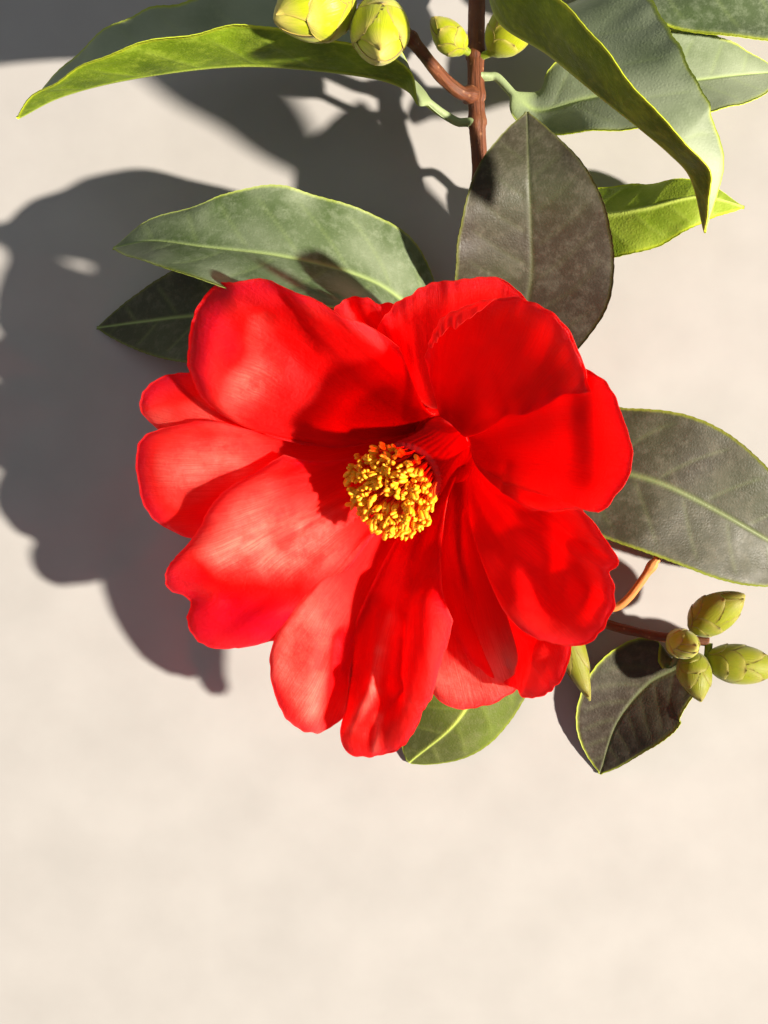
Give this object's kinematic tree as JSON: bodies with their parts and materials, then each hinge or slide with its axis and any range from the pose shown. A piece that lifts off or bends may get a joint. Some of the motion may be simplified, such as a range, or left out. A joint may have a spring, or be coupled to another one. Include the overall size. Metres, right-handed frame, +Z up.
{
  "type": "cut camellia spray",
  "caption": "Cut camellia spray lying flat: a large open red bloom with a golden stamen column on a leafy stem with green buds, for display or flower arranging.",
  "frame": {"origin": "centre of the spray's outer box in plan, on the surface it lies on", "axes": "+Z up off the surface, the way the bloom opens; +Y along the main stem towards its cut end; +X across the spray, towards the two lower twigs"},
  "size_m": [0.1895, 0.2008, 0.084],
  "materials": {
    "petal": "satin",
    "stamen": "matte",
    "sepal": "matte",
    "bud": "satin",
    "leaf": "glossy",
    "bark": "matte",
    "young_bark": "satin"
  },
  "bodies": {
    "root": {"main_stem": "bark", "bloom_stalk": "bark", "side_twig": "bark", "lower_twig": "bark", "young_twig": "young_bark", "petals": "petal", "stamens": "stamen", "calyx": "sepal", "leaf_arching": "leaf", "leaf_upper_left": "leaf", "leaf_left": "leaf", "leaf_far_left": "leaf", "leaf_behind": "leaf", "leaf_right": "leaf", "leaf_below": "leaf", "leaf_lower_right": "leaf", "leaf_upper_right": "leaf", "leaf_inner_right": "leaf", "leaf_top_right": "leaf", "bud_front_right": "bud", "bud_front_left": "bud", "bud_behind_left": "bud", "bud_behind_right": "bud", "bud_cluster_top": "bud", "bud_cluster_left": "bud", "bud_cluster_low": "bud", "bud_cluster_right": "bud", "bud_under_bloom": "bud"}
  },
  "joints": []
}
